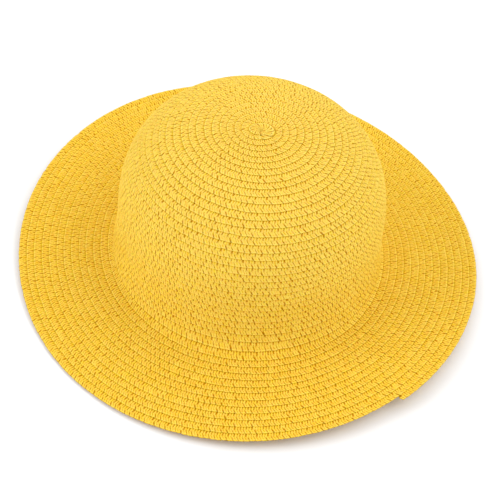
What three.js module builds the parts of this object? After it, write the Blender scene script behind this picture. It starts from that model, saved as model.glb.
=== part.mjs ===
import * as THREE from "three";

// A wide brim straw hat, sewn from one flat plaited braid that winds from the tip of the crown out to the edge
// of the brim, each row lapped on the next. Millimetres, +Z up, resting on Z = 0, with its front towards -Y.

// Crown: a dome with square shoulders on a nearly upright side wall
const crownRadius = 91.7;
const tipHeight = 118;
const shoulderHeight = 39.5;
const domePower = { across: 3.2, up: 2.8 };
const domeSteps = 18;
const crownOval = 0.8;
const leanRight = 0.019;
const leanBack = 0.015;

// Side wall below the shoulder, flare at its foot, and brim, on the outer face
const lowerSections = [
  { radius: 92.1, height: 32 },
  { radius: 93.2, height: 25 },
  { radius: 94.6, height: 19 },
  { radius: 96.3, height: 14.5 },
  { radius: 98.8, height: 11.4 },
  { radius: 102.5, height: 9.6 },
  { radius: 110, height: 8.1 },
  { radius: 120, height: 6.5 },
  { radius: 131, height: 4.9 },
  { radius: 142, height: 3.5 },
  { radius: 153, height: 2.4 },
  { radius: 164, height: 1.5 },
];
const footRadius = 100;
const footHeight = 10.6;
const brimRadius = 164;
const brimOval = 4.8;

// Slow wave of the brim's edge: its low and high places in turn, anticlockwise from above
const edgeWave = [
  { angle: -135, height: 0 },
  { angle: -45, height: 9.3 },
  { angle: 35, height: 0 },
  { angle: 130, height: 10.6 },
];

// Braid rows: the wall is thinnest where a row comes out from under the last one, thickest at its own edge
const rowPitch = 5.2;
const wallThickness = 1.6;
const lapStep = 0.8;
const lapRun = 0.4;
const edgeRowWidth = 5.3;
const edgeRowThickness = 1.4;
const braidEndAngle = -51.4;
const braidEndStep = 3.4;

const pieceGap = 0.3;
const columns = 48;
const innerSpacing = 13;

// The hat's outer face in section, from the tip of the crown to the edge of the brim
const profile = new THREE.SplineCurve([...domePoints(), ...lowerSections.map(sectionPoint)]);
profile.arcLengthDivisions = 800;
const profileLength = profile.getLength();

function domePoints() {
  const points = [];
  const rise = tipHeight - shoulderHeight;
  for (let step = 0; step <= domeSteps; step += 1) {
    const turn = (step / domeSteps) * (Math.PI / 2);
    const across = crownRadius * Math.sin(turn) ** (2 / domePower.across);
    const up = rise * Math.max(Math.cos(turn), 0) ** (2 / domePower.up);
    points.push(new THREE.Vector2(across, shoulderHeight + up));
  }
  return points;
}

function sectionPoint({ radius, height }) {
  return new THREE.Vector2(radius, height);
}

// A point of the section, at a length along the profile and a lift out from it
function wallPoint(length, lift) {
  const share = length / profileLength;
  const along = profile.getTangentAt(share);
  const out = new THREE.Vector2(-along.y, along.x);
  return profile.getPointAt(share).addScaledVector(out, lift);
}

// The length along the profile at which it first reaches a radius outside the side wall
function lengthToRadius(radius) {
  let low = 0;
  let high = 1;
  while (high - low > 1e-7) {
    const middle = (low + high) / 2;
    if (profile.getPointAt(middle).x < radius) {
      low = middle;
    } else {
      high = middle;
    }
  }
  return low * profileLength;
}

// Section of a lapped wall: out along the stepped rows, and back along the plain inside
function lappedSection(start, end) {
  const points = [];
  const rows = Math.round((end - start) / rowPitch);
  const pitch = (end - start) / rows;
  for (let row = 0; row < rows; row += 1) {
    points.push(wallPoint(start + row * pitch, -lapStep / 2));
    points.push(wallPoint(start + (row + 1) * pitch - lapRun, lapStep / 2));
  }
  points.push(wallPoint(end, -lapStep / 2));
  const innerSteps = Math.round((end - start) / innerSpacing);
  for (let step = innerSteps; step >= 0; step -= 1) {
    points.push(wallPoint(start + ((end - start) * step) / innerSteps, -wallThickness));
  }
  return points;
}

// Height of the brim's edge at an angle, eased from each low or high place to the next
function edgeHeight(angle) {
  const degrees = THREE.MathUtils.radToDeg(angle);
  for (let i = 0; i < edgeWave.length; i += 1) {
    const from = edgeWave[i];
    const to = edgeWave[(i + 1) % edgeWave.length];
    const span = THREE.MathUtils.euclideanModulo(to.angle - from.angle, 360);
    const past = THREE.MathUtils.euclideanModulo(degrees - from.angle, 360);
    if (past <= span) {
      const ease = (1 - Math.cos((past / span) * Math.PI)) / 2;
      return THREE.MathUtils.lerp(from.height, to.height, ease);
    }
  }
  return 0;
}

// Where a point of the plain round hat lies on the real one: oval, leaning back and right, with a waved brim
function settledPoint({ x, y, z }) {
  const radius = Math.hypot(x, y);
  const angle = Math.atan2(y, x);
  const flare = THREE.MathUtils.smoothstep(radius, crownRadius, footRadius);
  const crownShare = Math.min(radius / crownRadius, 1);
  const oval = THREE.MathUtils.lerp(crownOval * crownShare, brimOval, flare);
  const right = (radius - oval * Math.cos(2 * angle)) * Math.cos(angle);
  const back = (radius - oval * Math.cos(2 * angle)) * Math.sin(angle);
  const outwards = THREE.MathUtils.clamp((radius - footRadius) / (brimRadius - footRadius), 0, 1);
  const above = Math.max(z - footHeight, 0);
  const tilt = (1 - outwards) * (leanRight * right + leanBack * back);
  const up = z - tilt + outwards * edgeHeight(angle);
  return new THREE.Vector3(right + leanRight * above, back + leanBack * above, up);
}

function settle(geometry) {
  const position = geometry.getAttribute("position");
  for (let i = 0; i < position.count; i += 1) {
    const { x, y, z } = settledPoint(new THREE.Vector3().fromBufferAttribute(position, i));
    position.setXYZ(i, x, y, z);
  }
  geometry.computeVertexNormals();
  return geometry;
}

// A section turned once round +Z, with a column of points at the braid's end
function turned(section) {
  const start = THREE.MathUtils.degToRad(braidEndAngle + 90);
  return new THREE.LatheGeometry(section.toReversed(), columns, start).rotateX(Math.PI / 2);
}

const footLength = lengthToRadius(footRadius);
const brimEndLength = lengthToRadius(brimRadius - edgeRowWidth);

function crownGeometry() {
  const section = lappedSection(0, footLength - pieceGap / 2);
  section[0].x = 0;
  section[section.length - 1].x = 0;
  return settle(turned(section));
}

function brimGeometry() {
  const section = lappedSection(footLength + pieceGap / 2, brimEndLength - pieceGap / 2);
  section.push(section[0].clone());
  return settle(turned(section));
}

function ringPoint(radius, turn) {
  const angle = THREE.MathUtils.degToRad(braidEndAngle) + turn * 2 * Math.PI;
  return new THREE.Vector2(radius * Math.cos(angle), radius * Math.sin(angle));
}

// The last row of braid, seen from above: its outer edge draws in over one turn, so that its cut end stands out
function edgeRowGeometry() {
  const innerRadius = brimRadius - edgeRowWidth + pieceGap / 2;
  const outer = [];
  const inner = [];
  for (let column = 0; column <= columns; column += 1) {
    const turn = column / columns;
    outer.push(ringPoint(brimRadius + braidEndStep * (0.5 - turn), turn));
    if (column < columns) {
      inner.push(ringPoint(innerRadius, turn));
    }
  }
  const outline = new THREE.Shape(outer);
  outline.holes.push(new THREE.Path(inner));
  return settle(new THREE.ExtrudeGeometry(outline, { depth: edgeRowThickness, bevelEnabled: false }));
}

function straw(color) {
  return new THREE.MeshStandardMaterial({ color, roughness: 0.8, metalness: 0 });
}

function piece(name, geometry, material) {
  const mesh = new THREE.Mesh(geometry, material);
  mesh.name = name;
  return mesh;
}

const hat = new THREE.Group();
hat.add(piece("crown", crownGeometry(), straw(0xe6bc52)));
hat.add(piece("brim", brimGeometry(), straw(0xe3b23e)));
hat.add(piece("edge_row", edgeRowGeometry(), straw(0xe3b23e)));

// The origin is on the surface below the middle of the hat
const box = new THREE.Box3().setFromObject(hat);
const middle = box.getCenter(new THREE.Vector3());
hat.position.set(-middle.x, -middle.y, -box.min.z);

export default hat;
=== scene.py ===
"""A wide brim straw hat, sewn from one flat straw plait.

The plait starts at the tip of the crown and winds outwards, clockwise seen from above. Each turn laps over
the next one, and the last turn is the edge of the brim, where the plait ends in a small step. Metres, +Z up.
"""

import logging
import math
from dataclasses import dataclass, field
from enum import Enum
from functools import cached_property

import bpy
import numpy as np
from mathutils import Matrix, Vector


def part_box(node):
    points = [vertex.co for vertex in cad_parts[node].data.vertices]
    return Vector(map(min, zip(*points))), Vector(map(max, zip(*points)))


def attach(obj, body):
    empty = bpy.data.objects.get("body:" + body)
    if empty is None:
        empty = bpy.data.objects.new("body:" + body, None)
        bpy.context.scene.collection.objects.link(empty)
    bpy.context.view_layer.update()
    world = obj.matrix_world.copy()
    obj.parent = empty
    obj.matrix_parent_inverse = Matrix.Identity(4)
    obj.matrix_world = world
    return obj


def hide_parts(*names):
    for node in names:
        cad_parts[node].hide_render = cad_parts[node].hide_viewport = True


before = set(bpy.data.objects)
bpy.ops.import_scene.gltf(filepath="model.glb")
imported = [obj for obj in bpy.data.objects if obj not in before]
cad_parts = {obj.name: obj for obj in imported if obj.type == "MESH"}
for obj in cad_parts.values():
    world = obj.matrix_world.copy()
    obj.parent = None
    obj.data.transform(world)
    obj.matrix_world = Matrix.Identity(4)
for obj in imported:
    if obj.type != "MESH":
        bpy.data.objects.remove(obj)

LOG = logging.getLogger("straw_hat")
FULL_TURN = 2.0 * math.pi
INNER, MIDDLE, OUTER = 0.0, 0.5, 1.0

Colour = tuple[float, float, float]


class Face(Enum):
    """The two faces of the plait."""

    OUTSIDE = "outside"
    INSIDE = "inside"


class Height(Enum):
    """The heights that a strand's section has."""

    CREST = "crest"
    GROOVE = "groove"
    SIDE = "side"


class Measure(Enum):
    """The measures of the weave, which change along the profile."""

    STEP = "step"
    INNER_SLANT = "inner_slant"
    OUTER_SLANT = "outer_slant"


class Blend(Enum):
    """The ways in which a finish mixes two colours."""

    PLAIN = "MIX"
    OVERLAY = "OVERLAY"


@dataclass(frozen=True)
class Section:
    """One place of the hat's outer face in section: its radius and its height."""

    radius: float
    height: float


@dataclass(frozen=True)
class WavePlace:
    """A low or high place of the brim's edge: its angle in degrees and its height."""

    angle: float
    height: float


@dataclass(frozen=True)
class HatForm:
    """The hat's outer face: a turned profile that is then oval, leans and is waved along the brim."""

    plan_shift: tuple[float, float]
    crown_radius: float = 0.0917
    tip_height: float = 0.118
    shoulder_height: float = 0.0395
    dome_power_across: float = 3.2
    dome_power_up: float = 2.8
    dome_steps: int = 18
    crown_oval: float = 0.0008
    lean_right: float = 0.019
    lean_back: float = 0.015
    foot_radius: float = 0.1
    foot_height: float = 0.0106
    brim_radius: float = 0.164
    brim_oval: float = 0.0048
    brim_overhang: float = 0.004
    steps_per_span: int = 40
    lower_sections: tuple[Section, ...] = (
        Section(0.0921, 0.032),
        Section(0.0932, 0.025),
        Section(0.0946, 0.019),
        Section(0.0963, 0.0145),
        Section(0.0988, 0.0114),
        Section(0.1025, 0.0096),
        Section(0.110, 0.0081),
        Section(0.120, 0.0065),
        Section(0.131, 0.0049),
        Section(0.142, 0.0035),
        Section(0.153, 0.0024),
        Section(0.164, 0.0015),
    )
    edge_wave: tuple[WavePlace, ...] = (
        WavePlace(-135.0, 0.0),
        WavePlace(-45.0, 0.0093),
        WavePlace(35.0, 0.0),
        WavePlace(130.0, 0.0106),
    )

    def dome_points(self) -> np.ndarray:
        """Work out the dome's section, from the tip down to the shoulder.

        Returns:
            Radius and height of each point, one row a point.
        """
        turn = np.linspace(0.0, math.pi / 2, self.dome_steps + 1)
        rise = self.tip_height - self.shoulder_height
        across = self.crown_radius * np.sin(turn) ** (2 / self.dome_power_across)
        up = rise * np.maximum(np.cos(turn), 0.0) ** (2 / self.dome_power_up)
        return np.stack([across, self.shoulder_height + up], axis=1)

    @cached_property
    def profile(self) -> dict[str, np.ndarray]:
        """Draw a smooth curve through the section's points.

        Returns:
            Arrays of length along the curve, radius, height, and the two parts of its outward direction.
        """
        lower = np.array([(place.radius, place.height) for place in self.lower_sections])
        points = np.concatenate([self.dome_points(), lower])
        padded = np.concatenate([points[:1], points, points[-1:]])
        share = np.linspace(0.0, 1.0, self.steps_per_span, endpoint=False)[:, None]
        spans = []
        for before, start, end, after in zip(padded, padded[1:], padded[2:], padded[3:]):
            cubic = 3 * (start - end) + after - before
            square = 2 * before - 5 * start + 4 * end - after
            spans.append(start + 0.5 * share * (end - before + share * (square + share * cubic)))
        outwards = points[-1] - points[-2]
        past_edge = points[-1] + outwards * self.brim_overhang / np.linalg.norm(outwards)
        curve = np.concatenate([*spans, points[-1:], past_edge[None]])
        runs = np.linalg.norm(np.diff(curve, axis=0), axis=1)
        length = np.concatenate([[0.0], np.cumsum(runs)])
        along = np.gradient(curve, length, axis=0)
        along /= np.linalg.norm(along, axis=1)[:, None]
        return {
            "length": length,
            "radius": curve[:, 0],
            "height": curve[:, 1],
            "out_radius": -along[:, 1],
            "out_height": along[:, 0],
        }

    def at(self, length: np.ndarray, name: str) -> np.ndarray:
        """One of the profile's arrays at a length along it."""
        return np.interp(length, self.profile["length"], self.profile[name])

    def edge_height(self, angle: np.ndarray) -> np.ndarray:
        """Ease the brim's edge from each low or high place to the next.

        Args:
            angle: Angles round the hat, in radians.

        Returns:
            Height of the edge above its lowest place, at each angle.
        """
        degrees = np.degrees(angle)
        height = np.zeros_like(degrees)
        for start, end in zip(self.edge_wave, self.edge_wave[1:] + self.edge_wave[:1]):
            span = (end.angle - start.angle) % 360.0
            past = (degrees - start.angle) % 360.0
            ease = (1.0 - np.cos(past / span * math.pi)) / 2.0
            height = np.where(past <= span, start.height + (end.height - start.height) * ease, height)
        return height

    def surface(self, length: np.ndarray, angle: np.ndarray, lift: np.ndarray) -> np.ndarray:
        """Find points on or near the hat's outer face.

        Args:
            length: Length along the profile from the tip.
            angle: Angle round the hat, in radians, anticlockwise from +X.
            lift: Distance out from the face.

        Returns:
            The points, with their coordinates on the last axis.
        """
        radius = np.maximum(self.at(length, "radius") + lift * self.at(length, "out_radius"), 0.0)
        height = self.at(length, "height") + lift * self.at(length, "out_height")
        flare = np.clip((radius - self.crown_radius) / (self.foot_radius - self.crown_radius), 0.0, 1.0)
        flare = flare * flare * (3.0 - 2.0 * flare)
        crown_oval = self.crown_oval * np.minimum(radius / self.crown_radius, 1.0)
        oval = crown_oval + (self.brim_oval - crown_oval) * flare
        reach = radius - oval * np.cos(2.0 * angle)
        right, back = reach * np.cos(angle), reach * np.sin(angle)
        outwards = np.clip((radius - self.foot_radius) / (self.brim_radius - self.foot_radius), 0.0, 1.0)
        above = np.maximum(height - self.foot_height, 0.0)
        tilt = (1.0 - outwards) * (self.lean_right * right + self.lean_back * back)
        up = height - tilt + outwards * self.edge_height(angle)
        return np.stack(
            [
                right + self.lean_right * above + self.plan_shift[0],
                back + self.lean_back * above + self.plan_shift[1],
                up,
            ],
            axis=-1,
        )


@dataclass(frozen=True)
class TurnPlace:
    """Where the outer edge of a turn lies on the profile: turns are counted at the front of the hat."""

    turn: float
    length: float


@dataclass(frozen=True)
class Waver:
    """One part of the seam's waver: its rate in radians a turn, its start in radians, and its share."""

    rate: float
    start: float
    share: float


@dataclass(frozen=True)
class Winding:
    """The plait's path from the tip to its end: it winds outwards clockwise, one row a turn."""

    front_angle: float = -math.pi / 2
    start_turn: float = -1.0
    foot_turn: float = 31.7
    last_row_turn: float = 43.893
    end_turn: float = 44.893
    places: tuple[TurnPlace, ...] = (
        TurnPlace(-1.84, 0.0),
        TurnPlace(16.0, 0.0933),
        TurnPlace(31.7, 0.1742),
        TurnPlace(43.75, 0.2360),
        TurnPlace(43.893, 0.2374),
        TurnPlace(44.893, 0.24107),
    )
    tip_oval: float = 0.002
    tip_oval_turns: float = 1.6
    waver_reach: float = 0.00016
    waver_growth_turns: float = 3.0
    wavers: tuple[Waver, ...] = (
        Waver(17.3, 0.0, 1.0),
        Waver(9.1, 1.0, 1.0),
        Waver(41.7, 2.0, 0.7),
    )

    def angle(self, turn: np.ndarray) -> np.ndarray:
        """Angle round the hat at a turn, in radians."""
        return self.front_angle - FULL_TURN * turn

    def edge(self, turn: np.ndarray) -> np.ndarray:
        """Find the outer edge of the row, with the small waver of a hand-guided seam.

        Args:
            turn: Turns along the plait.

        Returns:
            Lengths along the profile.
        """
        known = np.array([(place.turn, place.length) for place in self.places])
        plain = np.interp(turn, known[:, 0], known[:, 1])
        fade = np.exp(-np.maximum(turn, 0.0) / self.tip_oval_turns)
        oval = self.tip_oval * np.cos(self.angle(turn)) ** 2 * fade
        drift = sum(part.share * np.sin(part.rate * turn + part.start) for part in self.wavers)
        growth = np.clip(turn / self.waver_growth_turns, 0.0, 1.0)
        return plain + oval + self.waver_reach * drift * growth

    def length(self, turn: np.ndarray, across: np.ndarray | float) -> np.ndarray:
        """Find a place in a row.

        Args:
            turn: Turns along the plait.
            across: Share of the row's shown width: 0 at the edge of the row before, 1 at its own edge.

        Returns:
            Lengths along the profile.
        """
        inner = np.where(turn < 0.0, 0.0, self.edge(turn - 1.0))
        outer = self.edge(turn)
        return np.maximum(inner + across * (outer - inner), 0.0)


@dataclass(frozen=True)
class SectionPoint:
    """One point of a strand's section: its place across the width, from -1 to 1, and the height it takes."""

    place: float
    height: Height


PAIR_SECTION = (
    SectionPoint(-1.0, Height.SIDE),
    SectionPoint(-0.52, Height.CREST),
    SectionPoint(0.0, Height.GROOVE),
    SectionPoint(0.52, Height.CREST),
    SectionPoint(1.0, Height.SIDE),
)
ROUND_SECTION = (
    SectionPoint(-1.0, Height.SIDE),
    SectionPoint(0.0, Height.CREST),
    SectionPoint(1.0, Height.SIDE),
)


@dataclass(frozen=True)
class Station:
    """One place along a strand, in shares.

    It says how far along it is, its width and height, the heights of the groove between its two cords and of
    its sides, how far groove and sides sink below the plait's face, how much painted highlight its crests get
    or, below zero, how much painted shade, and how far its crests lean forwards along the plait.
    """

    along: float
    width: float
    height: float
    groove: float = 0.5
    side: float = 0.0
    sink: float = 0.0
    painted_light: float = 0.0
    lean: float = 0.0

    def placed(self, point: SectionPoint) -> float:
        """Place across the strand here of one of its section's points."""
        return point.place - self.lean if point.height is Height.CREST else point.place

    def raised(self, point: SectionPoint) -> float:
        """Share of the strand's height here that one of its section's points has."""
        return {Height.CREST: 1.0, Height.GROOVE: self.groove, Height.SIDE: self.side}[point.height]


@dataclass(frozen=True)
class StrandColumn:
    """One of the two slanting columns of strands that show in a row of plait.

    Its start and end are shares across the row, and its shift is a share of the strands' spacing.
    """

    start: float
    end: float
    slant: Measure
    shift: float
    stations: tuple[Station, ...]
    section: tuple[SectionPoint, ...]

    def shares(self, name: str) -> np.ndarray:
        """One of the stations' shares, one row a station."""
        return np.array([[getattr(station, name)] for station in self.stations])

    def places(self) -> np.ndarray:
        """Place across the strand of each of the section's points, one row a station."""
        return np.array([[station.placed(point) for point in self.section] for station in self.stations])

    def raised(self) -> np.ndarray:
        """Share of the strand's height that each of the section's points has, one row a station."""
        return np.array([[station.raised(point) for point in self.section] for station in self.stations])


@dataclass(frozen=True)
class WeavePlace:
    """Spacing of the strands along a row and slant of both columns in degrees, at a length on the profile."""

    length: float
    step: float
    inner_slant: float
    outer_slant: float


@dataclass(frozen=True)
class Spread:
    """A measure that differs from strand to strand: its mean, its deviation and its limits."""

    mean: float
    deviation: float
    least: float = -math.inf
    most: float = math.inf

    def drawn(self, rng: np.random.Generator, count: int) -> np.ndarray:
        """Draw the measure for a number of strands, to be set against their stations and sides."""
        return rng.normal(self.mean, self.deviation, (count, 1, 1)).clip(self.least, self.most)


@dataclass(frozen=True)
class Plait:
    """The flat plait: a thin body, tilted so that each turn laps on the next, with strands on both faces.

    Lifts, heights, thickness and spacing are lengths. What lies across a row is a share of its shown width.
    """

    form: HatForm
    winding: Winding
    emerging_lift: float = -0.00034
    lap_rise: float = 0.00034
    body_thickness: float = 0.00035
    hidden_share: float = 0.54
    hidden_bevel: float = 0.1
    body_face_end: float = 0.88
    body_rim: float = 0.93
    body_spacing: float = 0.006
    body_spans: int = 4
    fewest_body_columns: int = 28
    strand_height: float = 0.00027
    inside_strand_height: float = 0.0003
    rim_sink: float = 0.00005
    crest_reach: float = 0.03
    farthest_across: float = 1.02
    fewest_strands: int = 9
    place_spread: Spread = Spread(0.0, 0.045)
    width_spread: Spread = Spread(1.0, 0.05, 0.86, 1.14)
    height_spread: Spread = Spread(1.0, 0.16, 0.6, 1.4)
    reach_spread: Spread = Spread(0.0, 0.02)
    flat_crest: float = 0.65
    shut_share: float = 0.7
    map_length: float = 40.0
    fine_steps: int = 400
    least_radius: float = 0.0001
    weave: tuple[WeavePlace, ...] = (
        WeavePlace(0.0, 0.0032, -66.0, 58.0),
        WeavePlace(0.03, 0.0036, -66.0, 58.0),
        WeavePlace(0.085, 0.0037, -68.0, 58.0),
        WeavePlace(0.105, 0.00374, -86.0, 62.0),
        WeavePlace(0.165, 0.0037, -86.0, 63.0),
        WeavePlace(0.185, 0.00352, -72.0, 65.0),
        WeavePlace(0.24, 0.00352, -72.0, 65.0),
    )
    outside_columns: tuple[StrandColumn, ...] = (
        StrandColumn(
            start=-0.2,
            end=0.54,
            slant=Measure.INNER_SLANT,
            shift=0.25,
            stations=(
                # Painted shade where the strands come out from under the row lapped over them.
                Station(0.0, 0.97, 0.8, groove=0.02, sink=0.18, painted_light=-0.5, lean=0.28),
                Station(0.35, 0.98, 0.95, groove=0.02, sink=0.18, painted_light=-0.34, lean=0.28),
                Station(0.6, 0.99, 1.0, groove=0.18, side=0.1, sink=0.1, lean=0.1),
                Station(0.85, 1.0, 0.95, groove=0.1, side=0.03, sink=0.1, lean=-0.28),
                Station(1.0, 0.8, 0.0),
            ),
            section=PAIR_SECTION,
        ),
        StrandColumn(
            start=0.33,
            end=1.0,
            slant=Measure.OUTER_SLANT,
            shift=0.75,
            stations=(
                Station(0.0, 0.8, 0.0),
                Station(0.22, 0.98, 0.95, groove=0.08, side=0.03, lean=-0.28),
                Station(0.68, 0.98, 1.0, groove=0.0, lean=-0.2),
                # The rim: a painted highlight on its crest, then painted shade down its foot into the seam.
                Station(0.79, 1.04, 1.0, groove=0.6, side=0.5, painted_light=0.75),
                Station(0.89, 1.05, 0.8, groove=0.75, side=0.65, painted_light=-0.3),
                Station(1.0, 1.05, -0.55, groove=0.8, side=0.7, painted_light=-0.15),
            ),
            section=PAIR_SECTION,
        ),
    )
    inside_columns: tuple[StrandColumn, ...] = (
        StrandColumn(
            start=-0.2,
            end=0.48,
            slant=Measure.INNER_SLANT,
            shift=0.25,
            stations=(Station(0.0, 0.8, 0.25), Station(0.5, 0.97, 1.0), Station(1.0, 0.6, 0.0)),
            section=ROUND_SECTION,
        ),
        StrandColumn(
            start=0.26,
            end=1.0,
            slant=Measure.OUTER_SLANT,
            shift=0.75,
            stations=(Station(0.0, 0.6, 0.0), Station(0.5, 0.97, 1.0), Station(1.0, 0.8, 0.0)),
            section=ROUND_SECTION,
        ),
    )

    def face_lift(self, across: np.ndarray) -> np.ndarray:
        """Lift of the plait body's outer face at a share across the row."""
        return self.emerging_lift + self.lap_rise * across

    def weave_at(self, length: np.ndarray, measure: Measure) -> np.ndarray:
        """One of the weave's measures at a length along the profile."""
        lengths = [place.length for place in self.weave]
        return np.interp(length, lengths, [getattr(place, measure.value) for place in self.weave])

    def spaced_turns(self, start: float, end: float, spacing: float | None, fewest: int) -> np.ndarray:
        """Space places evenly along the winding path.

        Args:
            start: First turn.
            end: Last turn.
            spacing: Distance between places, or None for the strands' own spacing.
            fewest: Least number of places in a turn.

        Returns:
            The turns at which the places lie.
        """
        fine = np.linspace(start, end, int((end - start) * self.fine_steps) + 2)
        middle = self.winding.length(fine, MIDDLE)
        round_the_hat = FULL_TURN * np.maximum(self.form.at(middle, "radius"), self.least_radius)
        distance = self.weave_at(middle, Measure.STEP) if spacing is None else spacing
        per_turn = np.maximum(round_the_hat / distance, fewest)
        count = np.concatenate([[0.0], np.cumsum((per_turn[1:] + per_turn[:-1]) / 2 * np.diff(fine))])
        whole = round(count[-1])
        return np.interp(np.arange(whole + 1.0) / whole, count / count[-1], fine)

    def slope(self, column: StrandColumn, turns: np.ndarray) -> np.ndarray:
        """Work out how far a column's strands slant along the plait over the width of a row.

        Args:
            column: The column of strands.
            turns: Turns at which its strands lie.

        Returns:
            Slant in strand spacings, one value a strand.
        """
        inner, middle, outer = (self.winding.length(turns, across) for across in (INNER, MIDDLE, OUTER))
        slant = np.radians(self.weave_at(middle, column.slant))
        return (outer - inner) / (self.weave_at(middle, Measure.STEP) * np.tan(slant))

    def strands(self, face: Face, start: float, end: float, seed: int) -> "StrandMesh":
        """Lay the strands that show on one face of the plait.

        Args:
            face: Which face of the plait.
            start: First turn.
            end: Last turn.
            seed: Start of the random differences between strands.

        Returns:
            The strands as one set of arrays.
        """
        mesh = StrandMesh(flipped=face is Face.INSIDE)
        rng = np.random.default_rng(seed)
        columns = self.outside_columns if face is Face.OUTSIDE else self.inside_columns
        for column in columns:
            mesh.add(self.column_arrays(column, face, start, end, rng))
        return mesh

    def column_arrays(
        self, column: StrandColumn, face: Face, start: float, end: float, rng: np.random.Generator
    ) -> "StrandArrays":
        """Work out one column of strands, in arrays by strand, station and side.

        Args:
            column: The column's slant, stations and section.
            face: Which face of the plait.
            start: First turn.
            end: Last turn.
            rng: Source of the small differences between strands.

        Returns:
            Points, tones, crest shares (a mask of painted light and shade) and map coordinates of every
            strand in the column.
        """
        turns = self.spaced_turns(start, end, None, self.fewest_strands)
        gaps = np.diff(turns)
        turns = turns[:-1] + column.shift * gaps
        count = len(turns)
        jitter = self.place_spread.drawn(rng, count)
        broad = self.width_spread.drawn(rng, count)
        tall = self.height_spread.drawn(rng, count)
        reach = self.reach_spread.drawn(rng, count)

        raised = column.raised()
        along = column.shares("along")
        across = column.start + along * (column.end - column.start) + reach
        across = np.minimum(across + self.crest_reach * (along - MIDDLE) * raised, self.farthest_across)
        centre = (column.start + column.end) / 2
        shift = self.slope(column, turns)[:, None, None] * (across - centre) + jitter
        shift = shift + column.places() * (column.shares("width") * broad) / 2
        turn = turns[:, None, None] - shift * gaps[:, None, None]

        most = self.strand_height if face is Face.OUTSIDE else self.inside_strand_height
        rise = column.shares("height") * tall * raised * most
        rise = rise - (self.rim_sink + most * column.shares("sink")) * (1.0 - raised)
        if face is Face.OUTSIDE:
            lift = self.face_lift(across) + rise
        else:
            across = 1.0 - self.hidden_share - across
            lift = self.face_lift(across) - self.body_thickness - rise
        points = self.form.surface(self.winding.length(turn, across), self.winding.angle(turn), lift)

        tone = rng.random((count, 1, 1))
        map_along = along + rng.random((count, 1, 1)) * self.map_length
        map_across = np.array([(point.place + 1.0) / 2 for point in column.section])
        # Painted shade: sides and grooves keep a random part of the crest share, so the gaps are shaded
        # unevenly.
        shown = raised + (1.0 - raised) * self.shut_share * rng.random(rise.shape)
        # The crest share falls where a strand dips, towards the painted flank and gap shade, and each station
        # adds its painted highlight above zero and painted shade below zero.
        full = np.clip(self.flat_crest + (1.0 - self.flat_crest) * column.shares("height"), 0.0, 1.0)
        crest = (full + column.shares("painted_light")) * shown
        values = (np.broadcast_to(value, rise.shape) for value in (tone, crest, map_across, map_along))
        return StrandArrays(points, *values)

    def body(self, start: float, end: float) -> tuple[np.ndarray, np.ndarray, list[list[int]]]:
        """Sweep the plait's thin body along its path, closed at both ends.

        Args:
            start: First turn.
            end: Last turn.

        Returns:
            Points, a share across the body for each point, and faces.
        """
        turns = self.spaced_turns(start, end, self.body_spacing, self.fewest_body_columns)
        outer, inner = 0.0, -self.body_thickness
        shares = np.linspace(self.hidden_bevel - self.hidden_share, self.body_face_end, self.body_spans + 1)
        ring = np.array(
            [
                (-self.hidden_share, (outer + inner) / 2),
                *((share, outer) for share in shares),
                (self.body_rim, (outer + inner) / 2),
                *((share, inner) for share in shares[::-1]),
            ]
        )
        across = np.broadcast_to(ring[:, 0], (len(turns), len(ring)))
        turn = np.broadcast_to(turns[:, None], across.shape)
        lift = self.face_lift(across) + ring[:, 1]
        points = self.form.surface(self.winding.length(turn, across), self.winding.angle(turn), lift)
        index = np.arange(turn.size).reshape(turn.shape)
        following = np.roll(index, -1, axis=1)
        quads = np.stack([index[:-1], index[1:], following[1:], following[:-1]], axis=-1).reshape(-1, 4)
        faces = quads.tolist() + [index[0].tolist(), index[-1, ::-1].tolist()]
        return points.reshape(-1, 3), across.reshape(-1), faces


@dataclass
class StrandArrays:
    """A column of strands: points, tone, crest share of painted light and map coordinates by strand, station
    and side.
    """

    points: np.ndarray
    tone: np.ndarray
    crest: np.ndarray
    map_across: np.ndarray
    map_along: np.ndarray


@dataclass
class StrandMesh:
    """Strands gathered into one mesh: each is a low closed pillow."""

    flipped: bool
    columns: list[StrandArrays] = field(default_factory=list)

    def add(self, column: StrandArrays) -> None:
        """Add a column of strands."""
        self.columns.append(column)

    def faces(self) -> list[list[int]]:
        """Join each strand's points into its top, underside and two ends.

        Returns:
            Faces as lists of point numbers.
        """
        faces: list[list[int]] = []
        first = 0
        for column in self.columns:
            count, stations, sides = column.points.shape[:3]
            index = first + np.arange(count * stations * sides).reshape(count, stations, sides)
            near, far = index[:, :-1], index[:, 1:]
            tops = np.stack([near[..., :-1], far[..., :-1], far[..., 1:], near[..., 1:]], -1)
            undersides = np.stack([near[..., 0], near[..., -1], far[..., -1], far[..., 0]], -1)
            for group in (tops, undersides):
                faces.extend(group.reshape(-1, 4).tolist())
            faces.extend(index[:, 0].tolist())
            faces.extend(index[:, -1, ::-1].tolist())
            first += index.size
        return [face[::-1] for face in faces] if self.flipped else faces

    def gathered(self, name: str) -> np.ndarray:
        """One of the columns' arrays, joined, one value a point."""
        return np.concatenate([getattr(column, name).reshape(-1) for column in self.columns])

    def points(self) -> np.ndarray:
        """All points, one row a point."""
        return np.concatenate([column.points.reshape(-1, 3) for column in self.columns])


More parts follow.
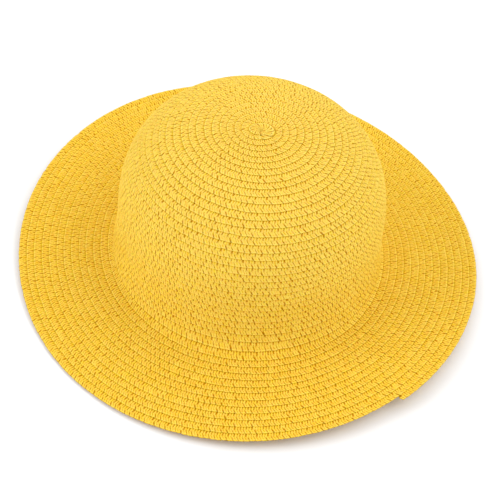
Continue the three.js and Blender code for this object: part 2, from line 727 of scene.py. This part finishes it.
@dataclass
class FinishNodes:
    """The shader nodes of one finish."""

    tree: bpy.types.NodeTree

    def feed(self, target: bpy.types.NodeSocket, source: bpy.types.NodeSocket | Colour | float) -> None:
        """Give a socket its value.

        Args:
            target: The socket.
            source: Another socket to link it to, or a colour or number to set it to.
        """
        if isinstance(source, bpy.types.NodeSocket):
            self.tree.links.new(source, target)
        elif isinstance(source, tuple):
            target.default_value = (*source, 1.0)
        else:
            target.default_value = source

    def attribute(self, name: str) -> bpy.types.NodeSocket:
        """Read one of the piece's own values.

        Args:
            name: The value's name.

        Returns:
            The value.
        """
        node = self.tree.nodes.new("ShaderNodeAttribute")
        node.attribute_name = name
        return node.outputs["Fac"]

    def ranged(
        self, value: bpy.types.NodeSocket, start: float, end: float, most: float = 1.0
    ) -> bpy.types.NodeSocket:
        """Make a share that rises evenly with a value.

        Args:
            value: The value.
            start: Value up to which the share is 0.
            end: Value from which the share is at its most.
            most: The most that the share reaches.

        Returns:
            The share.
        """
        node = self.tree.nodes.new("ShaderNodeMapRange")
        self.feed(node.inputs["Value"], value)
        self.feed(node.inputs["From Min"], start)
        self.feed(node.inputs["From Max"], end)
        self.feed(node.inputs["To Max"], most)
        return node.outputs["Result"]

    def mixed(
        self,
        share: bpy.types.NodeSocket | float,
        first: bpy.types.NodeSocket | Colour,
        second: bpy.types.NodeSocket | Colour,
        blend: Blend = Blend.PLAIN,
    ) -> bpy.types.NodeSocket:
        """Mix two colours.

        Args:
            share: Share of the second colour.
            first: First colour.
            second: Second colour.
            blend: How they are mixed.

        Returns:
            The mixed colour.
        """
        node = self.tree.nodes.new("ShaderNodeMix")
        node.data_type = "RGBA"
        node.blend_type = blend.value
        self.feed(node.inputs["Factor"], share)
        self.feed(node.inputs["A"], first)
        self.feed(node.inputs["B"], second)
        return node.outputs["Result"]


@dataclass(frozen=True)
class StrawFinish:
    """Dyed straw, which takes its colour from the crest share of a place on a strand.

    The crest share is a mask of painted light and shade. It has a dark painted shade in the gaps where there
    is no crest, a lighter painted shade on the flanks on the way up, and each strand's own tone between deep
    and pale on the crest. A painted highlight makes it paler where the crest share passes one, and a painted
    sheen makes it paler towards the top of the hat.
    """

    name: str
    pale: Colour
    deep: Colour
    # Painted shade colour on the strands' flanks.
    flank_shade: Colour
    # Painted shade colour in the gaps between strands and cords.
    gap_shade: Colour = (0.38, 0.145, 0.0003)
    gap_shade_end: float = 0.24
    flank_shade_start: float = 0.2
    flank_shade_end: float = 0.75
    # Painted highlight: the paler colour that crests get above a crest share of one.
    painted_light: Colour = (0.97, 0.77, 0.2)
    painted_light_share: float = 0.5
    painted_light_start: float = 1.0
    painted_light_end: float = 2.0
    # Painted sheen colour towards the top of the hat.
    painted_top_sheen: Colour = (0.84, 0.61, 0.128)
    painted_top_sheen_share: float = 0.6
    painted_top_sheen_from_height: float = 0.02
    painted_top_sheen_to_height: float = 0.115
    fibre_scale: tuple[float, float, float] = (6.0, 3.5, 1.0)
    fibre_detail: float = 3.0
    streak_share: float = 0.55
    bump_strength: float = 0.35
    bump_depth: float = 0.0001
    roughness: float = 0.6
    specular: float = 0.01

    def colour(self, nodes: FinishNodes) -> bpy.types.NodeSocket:
        """Mix the straw's colour with its painted light and shade, without its streaks.

        Args:
            nodes: The finish's nodes.

        Returns:
            The colour.
        """
        # The crest share is a mask of painted light and shade.
        crest = nodes.attribute("crest")
        strand = nodes.mixed(nodes.attribute("tone"), self.deep, self.pale)
        place = nodes.tree.nodes.new("ShaderNodeTexCoord")
        split = nodes.tree.nodes.new("ShaderNodeSeparateXYZ")
        nodes.feed(split.inputs["Vector"], place.outputs["Object"])
        # Painted sheen: paler and less saturated towards the top of the hat.
        high = nodes.ranged(
            split.outputs["Z"], self.painted_top_sheen_from_height, self.painted_top_sheen_to_height, self.painted_top_sheen_share
        )
        top_sheened = nodes.mixed(high, strand, self.painted_top_sheen)
        # Painted highlight on crests whose crest share passes one.
        highlighted = nodes.mixed(
            nodes.ranged(crest, self.painted_light_start, self.painted_light_end, self.painted_light_share), top_sheened, self.painted_light
        )
        # Painted shade on the strands' flanks.
        flank_shaded = nodes.mixed(nodes.ranged(crest, self.flank_shade_start, self.flank_shade_end), self.flank_shade, highlighted)
        # Painted shade in the gaps between strands and cords.
        return nodes.mixed(nodes.ranged(crest, 0.0, self.gap_shade_end), self.gap_shade, flank_shaded)

    def fibre(self, nodes: FinishNodes) -> bpy.types.Node:
        """Draw fine fibres along each strand's own map.

        Args:
            nodes: The finish's nodes.

        Returns:
            The noise that makes them.
        """
        place = nodes.tree.nodes.new("ShaderNodeTexCoord")
        stretch = nodes.tree.nodes.new("ShaderNodeMapping")
        stretch.inputs["Scale"].default_value = self.fibre_scale
        nodes.feed(stretch.inputs["Vector"], place.outputs["UV"])
        noise = nodes.tree.nodes.new("ShaderNodeTexNoise")
        nodes.feed(noise.inputs["Scale"], 1.0)
        nodes.feed(noise.inputs["Detail"], self.fibre_detail)
        nodes.feed(noise.inputs["Vector"], stretch.outputs["Vector"])
        return noise

    def material(self) -> bpy.types.Material:
        """Build the finish as shader nodes.

        Returns:
            The material.
        """
        made = bpy.data.materials.new(self.name)
        made.use_nodes = True
        nodes = FinishNodes(made.node_tree)
        fibre = self.fibre(nodes)
        bump = nodes.tree.nodes.new("ShaderNodeBump")
        nodes.feed(bump.inputs["Strength"], self.bump_strength)
        nodes.feed(bump.inputs["Distance"], self.bump_depth)
        nodes.feed(bump.inputs["Height"], fibre.outputs["Fac"])
        streaked = nodes.mixed(self.streak_share, self.colour(nodes), fibre.outputs["Color"], Blend.OVERLAY)
        shader = nodes.tree.nodes["Principled BSDF"]
        nodes.feed(shader.inputs["Base Color"], streaked)
        nodes.feed(shader.inputs["Normal"], bump.outputs["Normal"])
        nodes.feed(shader.inputs["Roughness"], self.roughness)
        nodes.feed(shader.inputs["Specular IOR Level"], self.specular)
        return made


def plait_object(
    name: str, points: np.ndarray, faces: list[list[int]], values: dict[str, np.ndarray]
) -> bpy.types.Object:
    """Make a mesh object from arrays, smooth shaded.

    Args:
        name: The piece's name.
        points: Points, one row a point.
        faces: Faces as lists of point numbers.
        values: Named values, one a point. "map_across" and "map_along" become the map coordinates.

    Returns:
        The object, linked to the scene.
    """
    mesh = bpy.data.meshes.new(name)
    mesh.from_pydata(points.tolist(), [], faces)
    corners = np.empty(len(mesh.loops), dtype=np.int32)
    mesh.loops.foreach_get("vertex_index", corners)
    layer = mesh.uv_layers.new(name="strand_map")
    flat = np.stack([values["map_across"][corners], values["map_along"][corners]], axis=1)
    layer.data.foreach_set("uv", flat.astype(np.float32).ravel())
    for key in ("tone", "crest"):
        stored = mesh.attributes.new(key, "FLOAT", "POINT")
        stored.data.foreach_set("value", values[key].astype(np.float32))
    mesh.shade_smooth()
    mesh.update()
    made = bpy.data.objects.new(name, mesh)
    bpy.context.scene.collection.objects.link(made)
    return made


@dataclass
class PlaitedPart:
    """A stretch of the winding plait that stands for one solid of the hat."""

    node: str
    slot: str
    plait: Plait
    finish: bpy.types.Material
    # Painted shade finish of the plait's hidden body.
    body_shade_finish: bpy.types.Material
    start_turn: float
    end_turn: float
    seed: int
    outside_names: tuple[str, ...]
    inside_name: str
    outside_splits: tuple[float, ...] = ()
    inside_seed_step: int = 50
    body_tone: float = 0.4

    def register(self, piece: bpy.types.Object, finish: bpy.types.Material) -> None:
        """Dress a finished piece, tie it to the body, and hide the solid that it stands for.

        Args:
            piece: The finished piece.
            finish: Its material.
        """
        piece.data.materials.append(finish)
        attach(piece, "root")
        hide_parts(self.node)
        LOG.info("%s: %d faces", piece.name, len(piece.data.polygons))

    def build(self) -> None:
        """Make the plait's body and the strands on both of its faces."""
        self.register(self.body_object(f"{self.node}_plait_body"), self.body_shade_finish)
        bounds = (self.start_turn, *self.outside_splits, self.end_turn)
        for i, (start, end) in enumerate(zip(bounds, bounds[1:])):
            strands = self.plait.strands(Face.OUTSIDE, start, end, self.seed + i)
            self.register(self.strand_object(f"{self.node}_{self.outside_names[i]}", strands), self.finish)
        inside_seed = self.seed + self.inside_seed_step
        inside = self.plait.strands(Face.INSIDE, self.start_turn, self.end_turn, inside_seed)
        self.register(self.strand_object(f"{self.node}_{self.inside_name}", inside), self.finish)

    def body_object(self, name: str) -> bpy.types.Object:
        """Make one object of the plait's thin body.

        Args:
            name: The piece's name.

        Returns:
            The object.
        """
        points, across, faces = self.plait.body(self.start_turn, self.end_turn)
        plain = np.zeros(len(points))
        values = {"tone": plain + self.body_tone, "crest": plain, "map_across": across, "map_along": plain}
        return plait_object(name, points, faces, values)

    @staticmethod
    def strand_object(name: str, strands: StrandMesh) -> bpy.types.Object:
        """Make one object of gathered strands.

        Args:
            name: The piece's name.
            strands: The strands.

        Returns:
            The object.
        """
        values = {key: strands.gathered(key) for key in ("tone", "crest", "map_across", "map_along")}
        return plait_object(name, strands.points(), strands.faces(), values)


@dataclass(frozen=True)
class SoftLight:
    """A square soft light: its name, where it hangs, its side and its power in watts."""

    name: str
    place: tuple[float, float, float]
    side: float
    power: float


@dataclass
class Studio:
    """Plain pale floor, soft light and the camera at the photo's angle, with angles in degrees."""

    plan_shift: tuple[float, float]
    elevation: float = 46.782
    azimuth: float = -2.344
    roll: float = 4.809
    distance: float = 1.2
    target: tuple[float, float, float] = (0.001955, 0.0, 0.0047975)
    focal_pixels: float = 1714.94
    frame_pixels: float = 500.0
    sensor_width: float = 36.0
    floor_radius: float = 8.0
    floor_corners: int = 96
    floor_colour: Colour = (0.92, 0.92, 0.92)
    floor_roughness: float = 0.95
    sky_strength: float = 0.87
    lit_place: tuple[float, float, float] = (0.0, 0.0, 0.05)
    lights: tuple[SoftLight, ...] = (
        SoftLight("key_light", (-1.7, -0.2, 1.25), 1.3, 13.4),
        SoftLight("fill_light", (1.5, 0.0, 1.65), 1.6, 13.6),
        SoftLight("back_light", (0.5, 1.35, 1.7), 1.6, 6.5),
        SoftLight("front_light", (0.0, -1.9, 0.4), 1.2, 3.2),
    )

    def build(self) -> None:
        """Set up the floor, lights, surroundings and camera."""
        self.floor()
        for light in self.lights:
            self.hang(light)
        self.sky()
        self.camera()

    def floor(self) -> None:
        """Lay the floor."""
        bpy.ops.object.select_all(action="DESELECT")
        bpy.ops.mesh.primitive_circle_add(
            vertices=self.floor_corners, radius=self.floor_radius, fill_type="NGON"
        )
        made = bpy.context.active_object
        made.name = "floor"
        material = bpy.data.materials.new("pale_floor")
        material.use_nodes = True
        shader = material.node_tree.nodes["Principled BSDF"]
        shader.inputs["Base Color"].default_value = (*self.floor_colour, 1.0)
        shader.inputs["Roughness"].default_value = self.floor_roughness
        shader.inputs["Specular IOR Level"].default_value = 0.0
        made.data.materials.append(material)

    def hang(self, light: SoftLight) -> None:
        """Hang one light so that it faces the hat.

        Args:
            light: The light.
        """
        data = bpy.data.lights.new(light.name, "AREA")
        data.size = light.side
        data.energy = light.power
        made = bpy.data.objects.new(light.name, data)
        bpy.context.scene.collection.objects.link(made)
        made.location = light.place
        made.rotation_mode = "QUATERNION"
        made.rotation_quaternion = (Vector(self.lit_place) - Vector(light.place)).to_track_quat("-Z", "Y")

    def sky(self) -> None:
        """Surround the hat with even white light, shown without any film look."""
        world = bpy.data.worlds.new("studio")
        world.use_nodes = True
        background = world.node_tree.nodes["Background"]
        background.inputs["Color"].default_value = (1.0, 1.0, 1.0, 1.0)
        background.inputs["Strength"].default_value = self.sky_strength
        bpy.context.scene.world = world
        bpy.context.scene.view_settings.view_transform = "Standard"

    def camera(self) -> None:
        """Place the camera."""
        azimuth, elevation = math.radians(self.azimuth), math.radians(self.elevation)
        roll = math.radians(self.roll)
        back = Vector(
            (
                math.sin(azimuth) * math.cos(elevation),
                -math.cos(azimuth) * math.cos(elevation),
                math.sin(elevation),
            )
        )
        level = Vector((math.cos(azimuth), math.sin(azimuth), 0.0))
        upright = back.cross(level)
        right = math.cos(roll) * level + math.sin(roll) * upright
        up = math.cos(roll) * upright - math.sin(roll) * level
        turned = Matrix((right, up, back)).transposed().to_4x4()
        target = Vector(self.target) + Vector((*self.plan_shift, 0.0))
        data = bpy.data.cameras.new("camera")
        data.sensor_width = self.sensor_width
        data.lens = self.focal_pixels / self.frame_pixels * self.sensor_width
        made = bpy.data.objects.new("camera", data)
        bpy.context.scene.collection.objects.link(made)
        made.matrix_world = Matrix.Translation(target + back * self.distance) @ turned
        bpy.context.scene.camera = made


def finishes() -> dict[str, bpy.types.Material]:
    """Make the hat's finishes.

    Returns:
        The materials of the crown, the brim and the plait's hidden body, painted dark as shade, by name.
    """
    # Painted shade: the plait's hidden body is coloured dark so that it shows as shadow through the gaps.
    shade = (0.52, 0.23, 0.0005)
    straws = (
        StrawFinish(
            "crown_straw", pale=(0.9, 0.615, 0.088), deep=(0.882, 0.573, 0.057), flank_shade=(0.82, 0.505, 0.008)
        ),
        StrawFinish(
            "brim_straw", pale=(0.912, 0.622, 0.084), deep=(0.893, 0.577, 0.055), flank_shade=(0.79, 0.465, 0.003)
        ),
        StrawFinish("under_straw_shade", pale=shade, deep=shade, flank_shade=shade, gap_shade=shade, painted_top_sheen_share=0.0),
    )
    return {straw.name: straw.material() for straw in straws}


def main() -> None:
    """Build the hat and its surroundings in order."""
    logging.basicConfig(level=logging.INFO, format="%(message)s")
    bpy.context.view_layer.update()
    low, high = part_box("crown")
    plan_shift = ((low.x + high.x) / 2, (low.y + high.y) / 2)
    winding = Winding()
    plait = Plait(HatForm(plan_shift), winding)
    straw = finishes()
    parts = (
        PlaitedPart(
            node="crown",
            slot="crown_straw",
            plait=plait,
            finish=straw["crown_straw"],
            body_shade_finish=straw["under_straw_shade"],
            start_turn=winding.start_turn,
            end_turn=winding.foot_turn,
            seed=11,
            outside_names=("top_plait", "shoulder_plait", "side_plait"),
            inside_name="inside_plait",
            outside_splits=(13.0, 22.5),
        ),
        PlaitedPart(
            node="brim",
            slot="brim_straw",
            plait=plait,
            finish=straw["brim_straw"],
            body_shade_finish=straw["under_straw_shade"],
            start_turn=winding.foot_turn,
            end_turn=winding.last_row_turn,
            seed=23,
            outside_names=("inner_rows_plait", "outer_rows_plait"),
            inside_name="underside_plait",
            outside_splits=(38.0,),
        ),
        PlaitedPart(
            node="edge_row",
            slot="brim_straw",
            plait=plait,
            finish=straw["brim_straw"],
            body_shade_finish=straw["under_straw_shade"],
            start_turn=winding.last_row_turn,
            end_turn=winding.end_turn,
            seed=37,
            outside_names=("plait",),
            inside_name="underside_plait",
        ),
    )
    for part in parts:
        part.build()
    Studio(plan_shift).build()


if __name__ == "__main__":
    main()
